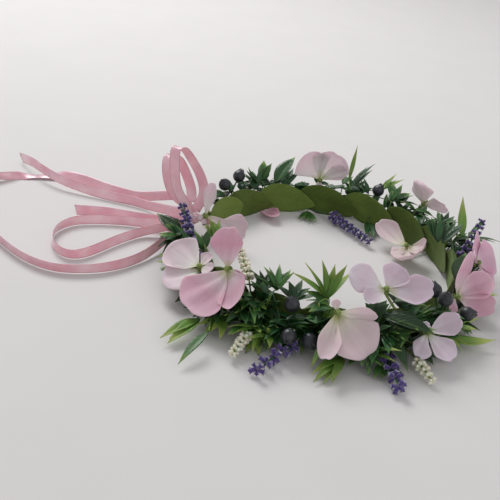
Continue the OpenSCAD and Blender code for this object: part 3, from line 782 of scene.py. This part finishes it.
# Each spray: its stalk's angle on the hoop, its hub [dr, angle, z], and fans of leaves
# (plastic, [dr, angle, z], count, [azimuth, spread], [elevation, spread], length, width, droop)
SPRAYS = {
    "foliage_left": (-163, [10, -166, 13], [
        (GLOSSY, [12, -167, 15], 1, [150, 0], [18, 0], 26, 13, 12),
        (DARK, [11, -166, 12], 5, [-155, 90], [0, 30], 18, 7, 22),
        (BRIGHT, [15, -161, 10], 6, [-95, 110], [-12, 16], 13, 4, 20),
        (MID, [11, -165, 15], 5, [-175, 80], [22, 36], 16, 5, 15),
        (MID, [10, -171, 23], 4, [-170, 90], [62, 24], 11, 5, 10),
        (BRIGHT, [-10, -157, 20], 7, [145, 110], [55, 36], 16, 3.5, 15),
        (GREY, [8, -147, 22], 2, [125, 50], [38, 16], 18, 9, 10),
        (MID, [0, -150, 20], 6, [150, 140], [48, 36], 14, 5, 12)]),
    "foliage_corner": (-126, [11, -127, 7], [
        (BRIGHT, [32, -121, 7], 3, [-119, 16], [0, 5], 30, 7, 10),
        (MID, [42, -114, 11], 1, [-110, 0], [-5, 0], 30, 6, 30),
        (DARK, [18, -122, 8], 6, [-120, 110], [8, 24], 20, 6, 18),
        (BRIGHT, [20, -117, 7], 4, [-105, 60], [5, 16], 21, 4.5, 12)]),
    "foliage_dark": (-103, [3, -105, 26], [
        (DARK, [6, -108, 20], 8, [180, 170], [58, 30], 14, 8, 14),
        (GLOSSY, [5, -102, 19], 3, [-60, 150], [52, 24], 14, 9, 10),
        (MID, [7, -112, 17], 6, [-60, 150], [5, 40], 17, 7, 14),
        (BRIGHT, [16, -105, 10], 6, [-95, 80], [-18, 30], 20, 4, 15),
        (DARK, [13, -98, 13], 8, [-80, 150], [-2, 40], 20, 6, 22),
        (MID, [20, -109, 9], 4, [-60, 150], [8, 20], 15, 5, 15),
        (MID, [-4, -105, 24], 8, [110, 190], [42, 40], 18, 4, 14),
        (DARK, [-3, -110, 22], 6, [110, 220], [40, 40], 15, 5, 14),
        (DARK, [-2, -97, 22], 6, [100, 220], [36, 40], 15, 5, 14)]),
    "foliage_star": (-86, [3, -87, 28], [
        (BRIGHT, [-4, -84, 27], 6, [105, 190], [46, 30], 24, 5, 12),
        (MID, [-2, -83, 25], 5, [180, 120], [10, 40], 16, 6, 15),
        (BRIGHT, [-2, -82, 23], 4, [-120, 100], [-28, 40], 13, 5, 20),
        (DARK, [2, -84, 18], 6, [-90, 160], [10, 50], 16, 7, 18)]),
    "foliage_glossy": (-66, [12, -67, 19], [
        (GLOSSY, [7, -64, 25], 2, [-6, 20], [2, 10], 29, 14, 10),
        (GLOSSY, [13, -65, 20], 1, [-42, 0], [-22, 0], 30, 11, 10),
        (GLOSSY, [14, -70, 18], 2, [-80, 30], [-30, 10], 24, 9, 14),
        (DARK, [15, -68, 16], 4, [-70, 90], [-24, 22], 19, 7, 26),
        (MID, [-5, -55, 25], 3, [-5, 90], [22, 20], 20, 6, 15),
        (DARK, [5, -66, 20], 5, [95, 170], [50, 30], 14, 7, 15),
        (DARK, [-2, -51, 20], 7, [80, 230], [28, 40], 16, 5, 14),
        (BRIGHT, [21, -77, 5], 4, [-112, 40], [4, 10], 28, 6, 18),
        (MID, [27, -66, 5], 5, [-60, 110], [2, 12], 14, 5, 15)]),
    "foliage_right": (-9, [14, -11, 12], [
        (BRIGHT, [17, -41, 9], 1, [20, 0], [-15, 0], 38, 8, -20),
        (MID, [15, -16, 16], 5, [15, 90], [14, 26], 19, 5.5, 12),
        (BRIGHT, [14, -15, 17], 4, [12, 70], [12, 30], 16, 5, 10),
        (DARK, [16, -18, 14], 7, [-15, 150], [0, 50], 19, 6, 14),
        (DARK, [12, -30, 14], 6, [-40, 150], [0, 50], 18, 7, 18)]),
    "foliage_back_right": (27, [7, 28, 25], [
        (BRIGHT, [16, 27, 22], 1, [105, 0], [45, 0], 31, 7, -25),
        (MID, [20, 26, 24], 6, [25, 130], [15, 50], 20, 3.5, 14),
        (DARK, [-8, 21, 24], 5, [110, 70], [55, 28], 20, 4.5, 10),
        (DARK, [-5, 20, 24], 4, [60, 60], [36, 16], 24, 5, 10),
        (GLOSSY, [2, -15, 24], 1, [80, 0], [45, 0], 21, 11, 10),
        (GLOSSY, [9, 51, 22], 1, [90, 0], [40, 0], 23, 11, 10),
        (DARK, [7, 35, 20], 6, [60, 170], [40, 50], 16, 6, 14)]),
    "foliage_back": (84, [8, 86, 20], [
        (DARK, [12, 87, 18], 3, [52, 34], [48, 22], 31, 4.5, 18),
        (BRIGHT, [14, 88, 26], 1, [86, 0], [50, 0], 30, 4, -10),
        (BRIGHT, [21, 74, 22], 4, [50, 40], [36, 16], 20, 3, 10),
        (MID, [14, 66, 20], 6, [60, 170], [30, 36], 17, 6, 10),
        (DARK, [8, 84, 17], 7, [90, 170], [40, 50], 16, 6, 14)]),
    "foliage_back_left": (128, [9, 128, 20], [
        (GLOSSY, [9, 122, 20], 1, [65, 0], [40, 0], 29, 14, 10),
        (MID, [13, 128, 21], 3, [80, 60], [48, 20], 17, 8, 10),
        (DARK, [7, 132, 20], 7, [160, 150], [40, 50], 16, 4, 10),
        (DARK, [10, 117, 17], 5, [80, 120], [26, 40], 18, 6, 10)]),
}
# Low leaves inside the ring, seen beside and under the lining
UNDER = [
    (MID, [-4, 106, 3], 5, [-80, 70], [2, 4], 17, 3.5, 8),
    (DARK, [-4, 73, 4], 3, [-72, 50], [2, 4], 21, 6, 8),
    (MID, [-24, 36, 11], 3, [-90, 30], [-14, 14], 17, 1.8, 8),
]


def hoop(angle):
    a = math.radians(angle)
    return Vector((HOOP_R * math.cos(a), HOOP_R * math.sin(a), HOOP_Z))


def stalk(cloth, start, end, sag=1.5, thick=0.75, tone=0.2):
    """A thin stalk from start to end with a slight bow."""
    pts = []
    for i in range(9):
        t = i / 8
        pts.append(start.lerp(end, t) + Vector((0, 0, sag * math.sin(math.pi * t))))
    cloth.tube(pts, [thick * (1 - 0.35 * i / 8) for i in range(9)], 8, tone)


def fan(cloth, rng, joint, kind, root, count, azimuth, elevation, length, width, droop):
    """Leaves fanned about a direction, each a little unlike the next, on a stalk from a joint.
    One that would meet a petal is turned aside, or left out if that doesn't clear it."""
    cloth.paint(kind)
    base = rad(*root)
    if (base - joint).length > 3:
        stalk(cloth, joint, base, 0.8, 0.5)
    for i in range(count):
        t = (i + 0.5) / count - 0.5
        size = rng.uniform(0.82, 1.12) if count > 1 else 1
        lift = rng.uniform(-0.5, 0.5) * elevation[1]
        for aside in (0, 7, -7, 14, -14, 22, -22, 30, -30):
            if leaf(cloth, base, azimuth[0] + azimuth[1] * t + aside, elevation[0] + lift,
                    length * size, width * rng.uniform(0.85, 1.15), droop * rng.uniform(0.6, 1.4),
                    rng.uniform(0.15, 0.5), rng.uniform(-25, 25), rng.uniform(0, 1), 17, 7):
                break


def spray(node):
    root_angle, hub, fans = SPRAYS[node]
    rng = random.Random(hash_of(node))
    cloth = Cloth()
    centre = rad(*hub)
    cloth.paint(fans[0][0])
    stalk(cloth, hoop(root_angle), centre)
    for row in fans:
        fan(cloth, rng, centre, *row)
    obj = cloth.piece(node + "_leaves")
    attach(obj, "crown")
    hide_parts(node)


def under_leaves():
    rng = random.Random(9)
    cloth = Cloth()
    for row in UNDER:
        base = rad(*row[1])
        fan(cloth, rng, base, *row)
        cloth.paint(row[0])
        stalk(cloth, hoop(row[1][1]), base, 0, 0.5)
    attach(cloth.piece("under_lining_leaves"), "crown")


def hash_of(name):
    """The same whole number for a name on every run."""
    return sum((i + 1) * ord(c) for i, c in enumerate(name))


for name in SPRAYS:
    spray(name)
under_leaves()

# Filling: plastic, first and last angle, how many twigs, dr range, z range, length, width
FILLING = {
    "filling_dark_front": (DARK, -150, -22, 78, (3, 18), (3, 19), 17, 6),
    "filling_mid_front": (MID, -148, -24, 40, (4, 20), (4, 20), 16, 4.5),
    "filling_bright_front": (BRIGHT, -145, -30, 16, (8, 24), (3, 16), 20, 4),
    "filling_dark_sides": (DARK, -22, 158, 52, (3, 13), (7, 23), 14, 6),
    "filling_mid_sides": (MID, -20, 156, 30, (4, 14), (8, 24), 14, 4.5),
    "filling_left": (DARK, -170, -148, 12, (5, 14), (5, 20), 15, 5.5),
}


def filling(name):
    """Short leaves that fill the ring between two angles, up to four on each twig."""
    kind, start, stop, twigs, out, height, length, width = FILLING[name]
    rng = random.Random(hash_of(name))
    cloth = Cloth()
    for i in range(twigs):
        angle = start + (stop - start) * (i + rng.uniform(0.2, 0.8)) / twigs
        base = rad(rng.uniform(*out), angle, rng.uniform(*height))
        grown_leaves = 0
        for _ in range(14):
            grown_leaves += leaf(cloth, base, angle + rng.uniform(-100, 100), rng.uniform(-12, 55),
                                 length * rng.uniform(0.65, 1.15), width * rng.uniform(0.6, 1.2),
                                 rng.uniform(0, 40), rng.uniform(0.15, 0.5),
                                 rng.uniform(-30, 30), rng.uniform(0, 1), 11, 5)
            if grown_leaves == 4:
                break
        if grown_leaves:
            stalk(cloth, hoop(angle), base, 0.5, 0.5)
    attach(cloth.piece(name, kind), "crown")


for name in FILLING:
    filling(name)


# ---------------------------------------------------------------- lavender, buds, berries

def geometry_tree(name, sockets):
    """A Geometry Nodes tree with named number inputs; returns it with its in and out nodes."""
    tree = bpy.data.node_groups.new(name, "GeometryNodeTree")
    tree.is_modifier = True
    tree.interface.new_socket("Geometry", in_out="INPUT", socket_type="NodeSocketGeometry")
    for label, value in sockets.items():
        kind = "NodeSocketInt" if isinstance(value, int) else "NodeSocketFloat"
        made = tree.interface.new_socket(label, in_out="INPUT", socket_type=kind)
        made.default_value = value
    tree.interface.new_socket("Geometry", in_out="OUTPUT", socket_type="NodeSocketGeometry")
    return tree, add(tree, "NodeGroupInput"), add(tree, "NodeGroupOutput")


def along_stalk(name, part, material):
    """Puts a part in whorls along a curve, smaller towards its end, at random turns."""
    tree, into, out = geometry_tree(name, {
        "Whorls": 7, "Start": 0.2, "End scale": 0.6, "Per whorl": 6, "Seed": 1})
    trimmed = add(tree, "GeometryNodeTrimCurve", {"Curve": into.outputs["Geometry"],
                                                 "Start": into.outputs["Start"]})
    points = add(tree, "GeometryNodeCurveToPoints", {
        "Curve": trimmed.outputs["Curve"], "Count": into.outputs["Whorls"]}, mode="COUNT")
    info = add(tree, "GeometryNodeObjectInfo", {"Object": part})
    ring = add(tree, "GeometryNodeMeshCircle", {"Vertices": into.outputs["Per whorl"],
                                               "Radius": 0.0006})
    place = add(tree, "GeometryNodeInputPosition")
    outward = add(tree, "FunctionNodeAlignRotationToVector", {"Vector": place.outputs[0]}, axis="Z")
    lean = add(tree, "FunctionNodeRandomValue", {2: -0.35, 3: 0.35, "Seed": into.outputs["Seed"]},
               data_type="FLOAT")
    wobble = add(tree, "ShaderNodeCombineXYZ", {"X": lean.outputs[1], "Y": lean.outputs[1]})
    shaken = add(tree, "FunctionNodeRotateRotation", {
        "Rotation": outward.outputs[0], "Rotate By": wobble.outputs[0]}, rotation_space="LOCAL")
    sizes = add(tree, "FunctionNodeRandomValue", {2: 0.75, 3: 1.15, "Seed": into.outputs["Seed"]},
                data_type="FLOAT")
    whorl = add(tree, "GeometryNodeInstanceOnPoints", {
        "Points": ring.outputs["Mesh"], "Instance": info.outputs["Geometry"],
        "Rotation": shaken.outputs[0], "Scale": sizes.outputs[1]})
    index = add(tree, "GeometryNodeInputIndex")
    share = add(tree, "ShaderNodeMath", {0: index.outputs[0], 1: into.outputs["Whorls"]},
                operation="DIVIDE")
    taper = add(tree, "ShaderNodeMapRange", {"Value": share.outputs[0], "To Min": 1.0,
                                            "To Max": into.outputs["End scale"]})
    turn = add(tree, "FunctionNodeRandomValue", {2: 0.0, 3: 6.28, "Seed": into.outputs["Seed"]},
               data_type="FLOAT")
    spin = add(tree, "ShaderNodeCombineXYZ", {"Z": turn.outputs[1]})
    facing = add(tree, "FunctionNodeRotateRotation", {
        "Rotation": points.outputs["Rotation"], "Rotate By": spin.outputs[0]},
        rotation_space="LOCAL")
    spike = add(tree, "GeometryNodeInstanceOnPoints", {
        "Points": points.outputs["Points"], "Instance": whorl.outputs["Instances"],
        "Rotation": facing.outputs[0], "Scale": taper.outputs[0]})
    real = add(tree, "GeometryNodeRealizeInstances", {"Geometry": spike.outputs["Instances"]})
    painted = add(tree, "GeometryNodeSetMaterial", {"Geometry": real.outputs[0], "Material": material})
    tree.links.new(painted.outputs[0], out.inputs[0])
    return tree


def part_mesh(name, rings, sides, star=0.0):
    """A small turned part in metres along +Z from [radius, height] rings (mm), star-lobed."""
    verts, faces = [], []
    for r, z in rings:
        for k in range(sides):
            a = 2 * math.pi * k / sides
            lobe = 1 + (star * math.cos(a * 4) if z > rings[-2][1] - 0.01 else 0)
            verts.append((r * lobe * math.cos(a) * MM, r * lobe * math.sin(a) * MM, z * MM))
    for i in range(len(rings) - 1):
        for k in range(sides):
            a, b = i * sides + k, i * sides + (k + 1) % sides
            faces.append((a, b, b + sides, a + sides))
    faces.append(tuple(range(sides - 1, -1, -1)))
    faces.append(tuple(range((len(rings) - 1) * sides, len(rings) * sides)))
    mesh = bpy.data.meshes.new(name)
    mesh.from_pydata(verts, [], faces)
    mesh.polygons.foreach_set("use_smooth", [True] * len(faces))
    obj = bpy.data.objects.new(name, mesh)
    bpy.context.scene.collection.objects.link(obj)
    return obj


def curve_object(name, points):
    data = bpy.data.curves.new(name, "CURVE")
    data.dimensions = "3D"
    line = data.splines.new("POLY")
    line.points.add(len(points) - 1)
    for at_point, p in zip(line.points, points):
        at_point.co = (p[0] * MM, p[1] * MM, p[2] * MM, 1)
    obj = bpy.data.objects.new(name, data)
    bpy.context.scene.collection.objects.link(obj)
    return obj


def grown(name, tree, points, settings):
    """Runs a tree on a curve and returns the plain mesh object."""
    source = curve_object(name + "_line", points)
    modifier = source.modifiers.new("grow", "NODES")
    modifier.node_group = tree
    for item in tree.interface.items_tree:
        if item.in_out == "INPUT" and item.name in settings:
            modifier[item.identifier] = settings[item.name]
    evaluated = source.evaluated_get(bpy.context.evaluated_depsgraph_get())
    mesh = bpy.data.meshes.new_from_object(evaluated)
    bpy.data.objects.remove(source)
    obj = bpy.data.objects.new(name, mesh)
    bpy.context.scene.collection.objects.link(obj)
    return obj


FLORET = part_mesh("floret_part", [[0.45, 0], [1.1, 0.9], [1.35, 2.1], [1.05, 3.1], [1.75, 4.1]],
                   8, 0.28)
BUD_PART = part_mesh("bud_part", [[0.4, 0], [1.15, 0.8], [1.45, 1.9], [1.1, 3.0], [0.3, 3.5]], 8)
LAVENDER = along_stalk("lavender_whorls", FLORET, FLOCK)
BUDS = along_stalk("bud_sprig", BUD_PART, BUD)


def bowed(start, end, lift, n=14):
    pts = []
    for i in range(n):
        t = i / (n - 1)
        pts.append(start.lerp(end, t) + Vector((0, 0, lift * math.sin(math.pi * t))))
    return pts


def stalk_piece(name, paths, material, thick=0.6):
    cloth = Cloth()
    for pts in paths:
        cloth.tube(pts, [thick] * len(pts), 8)
    obj = cloth.piece(name, material)
    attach(obj, "crown")
    return obj


# Picks: node, stalk angle, start [dr, angle, z], end, then whorls, where on the stalk they
# start, florets in a whorl, size at the end and seed
LAVENDERS = [
    ("lavender_1", -149, [7, -145, 15], [14, -174, 31], 8, 0.1, 5, 0.6, 3),
    ("lavender_2", -87, [15, -91, 5.6], [50, -98.5, 5.4], 5, 0.2, 5, 0.95, 4),
    ("lavender_3", -62, [12, -63.5, 6.5], [48, -65, 5.4], 5, 0.2, 5, 0.95, 5),
    ("lavender_4", 107, [-8, 94, 5.2], [-34, 58.5, 5.2], 9, 0.1, 5, 0.6, 6),
    ("lavender_5", 10, [7, 12, 20], [21, 21, 42], 7, 0.1, 5, 0.6, 7),
]
SPRIGS = [
    ("buds_inner", -112, [2, -116, 28], [-13, -136, 34], 8, 0.05, 6, 0.6, 2),
    ("buds_left", -107, [9, -107, 8], [44, -106, 5], 6, 0.5, 6, 0.6, 3),
    ("buds_right", -55, [9, -55, 6], [45, -55, 4], 5, 0.55, 6, 0.6, 5),
]
SETTINGS = ("Whorls", "Start", "Per whorl", "End scale", "Seed")


def picks():
    for rows, tree, stem_kind in ((LAVENDERS, LAVENDER, DARK), (SPRIGS, BUDS, STEM)):
        for node, root_angle, start, end, *settings in rows:
            a, b = rad(*start), rad(*end)
            line = bowed(a, b, 1.2 if node != "lavender_4" else 0)
            heads = grown(node + "_heads", tree, line, dict(zip(SETTINGS, settings)))
            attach(heads, "crown")
            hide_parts(node)
            root = bowed(hoop(root_angle), a, 0, 6)
            if node == "lavender_4":
                root = [hoop(107), rad(3, 106.7, 2), a]
            stalk_piece(node + "_stalk", [root, line], stem_kind, 0.55)


picks()
bpy.data.objects.remove(FLORET)
bpy.data.objects.remove(BUD_PART)

def berry(cloth, joint, place, rng, radius=4.6):
    """A berry with a wrinkled skin, its open crown of five points away from the stalk."""
    rows, sides = 18, 30
    away = (place - joint).normalized()
    side = away.orthogonal().normalized()
    other = away.cross(side)
    wrinkle = smooth_noise(rng, 5)
    verts, uvs, faces = [], [], []
    for i in range(rows + 1):
        t = i / rows
        angle = math.pi * t * 0.93
        r, h = radius * math.sin(angle), -radius * math.cos(angle)
        if t > 0.9:
            h += (t - 0.9) * 8
        for k in range(sides):
            a = 2 * math.pi * k / sides
            crown = max(0, t - 0.8) * 5 * (0.5 + 0.5 * math.cos(5 * a))
            rr = max(r * (1 + 0.012 * wrinkle(a) * math.sin(angle)), 0.02) + crown * 0.35
            p = place + (side * math.cos(a) + other * math.sin(a)) * rr + away * (h + crown * 0.9)
            verts.append(tuple(p))
            uvs.append((t, k / sides))
    for i in range(rows):
        for k in range(sides):
            a, b = i * sides + k, i * sides + (k + 1) % sides
            faces.append((a, b, b + sides, a + sides))
    faces.append(tuple(range(sides - 1, -1, -1)))
    dip = tuple(place + away * (radius * 0.72))
    verts.append(dip)
    uvs.append((1, 0.5))
    for k in range(sides):
        faces.append((rows * sides + k, rows * sides + (k + 1) % sides, len(verts) - 1))
    cloth.add(verts, faces, uvs, rng.uniform(0, 1))


def berry_picks():
    rng = random.Random(12)
    for node, (root_angle, joint, places) in BERRIES.items():
        j = rad(*joint)
        cloth = Cloth()
        for p in places:
            berry(cloth, j, rad(*p), rng)
        obj = cloth.piece(node + "_fruit", BERRY)
        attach(obj, "crown")
        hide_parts(node)
        paths = [bowed(hoop(root_angle), j, 0, 6)] + [bowed(j, rad(*p), 0, 6) for p in places]
        stalk_piece(node + "_stalk", paths, DARK, 0.6)


berry_picks()
stalk_piece("brown_twig", [bowed(hoop(166), rad(5, 170, 31), 2, 8)], TWIG, 0.55)


# ---------------------------------------------------------------- hoop

def tape():
    """Crepe tape wound round the hoop: a ridge at each turn, half a tape's width apart."""
    low, high = -166, 166
    n, sides = 760, 16
    turns = 92
    cloth = Cloth()
    verts, uvs, faces = [], [], []
    for i in range(n + 1):
        t = i / n
        a = math.radians(low + (high - low) * t)
        out = Vector((math.cos(a), math.sin(a), 0))
        for k in range(sides):
            b = 2 * math.pi * k / sides
            ridge = ((t * turns + k / sides) % 1) ** 2 * 0.3
            r = 2.35 + ridge
            p = Vector((0, 0, HOOP_Z)) + out * (HOOP_R + r * math.cos(b))
            verts.append((p.x, p.y, p.z + r * math.sin(b)))
            uvs.append((t, k / sides))
    for i in range(n):
        for k in range(sides):
            a, b = i * sides + k, i * sides + (k + 1) % sides
            faces.append((a + sides, b + sides, b, a))
    faces.append(tuple(range(sides)))
    faces.append(tuple(range((n + 1) * sides - 1, n * sides - 1, -1)))
    cloth.add(verts, faces, uvs, 0.5)
    obj = cloth.piece("hoop_tape_wound", TAPE)
    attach(obj, "crown")
    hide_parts("hoop_tape")


tape()


def finishes():
    """The CAD pieces whose shape is right: wire, eyes and stems get their finish."""
    for node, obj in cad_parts.items():
        if node in ("hoop_wire", "hoop_eyes"):
            obj.data.materials.clear()
            obj.data.materials.append(WIRE)
        elif node.startswith("stem_"):
            obj.data.materials.clear()
            obj.data.materials.append(STEM)


finishes()


# ---------------------------------------------------------------- stage

def studio():
    """A pale sweep, a large soft key from the back left, a weak fill and an even sky."""
    made, tree, base = shader("paper_sweep", Roughness=0.9, Specular_IOR_Level=0.1)
    grain = mm_noise(tree, 60, 2)
    tree.links.new(ramp(tree, grain, [(0.2, "#dcdad8"), (0.8, "#dfdddb")]), base.inputs["Base Color"])
    verts = []
    faces = []
    for i in range(25):
        t = i / 24
        bend = max(0.0, t - 0.6) / 0.4
        y = -1.6 + 2.9 * min(t, 0.6) / 0.6 + 0.5 * math.sin(bend * math.pi / 2)
        z = 0.5 * (1 - math.cos(bend * math.pi / 2)) + (1.2 * max(0.0, t - 0.95) / 0.05)
        verts += [(-2.5, y, z), (2.5, y, z)]
        if i:
            k = 2 * i
            faces.append((k - 2, k - 1, k + 1, k))
    mesh = bpy.data.meshes.new("sweep")
    mesh.from_pydata(verts, [], faces)
    mesh.polygons.foreach_set("use_smooth", [True] * len(faces))
    mesh.materials.append(made)
    floor = bpy.data.objects.new("sweep", mesh)
    bpy.context.scene.collection.objects.link(floor)
    for name, place, size, power in (("key", (-0.75, 0.85, 1.25), 0.9, 16),
                                     ("fill", (1.1, -0.9, 0.9), 1.4, 3.0)):
        data = bpy.data.lights.new(name, "AREA")
        data.shape = "DISK"
        data.size = size
        data.energy = power
        light = bpy.data.objects.new(name, data)
        light.location = place
        towards = Vector((-0.03, 0, 0)) - Vector(place)
        light.rotation_euler = towards.to_track_quat("-Z", "Y").to_euler()
        bpy.context.scene.collection.objects.link(light)
    world = bpy.data.worlds.new("room")
    world.use_nodes = True
    world.node_tree.nodes["Background"].inputs["Color"].default_value = linear("#f1f1f4")
    world.node_tree.nodes["Background"].inputs["Strength"].default_value = 0.55
    bpy.context.scene.world = world
    bpy.context.scene.view_settings.view_transform = "Standard"


studio()
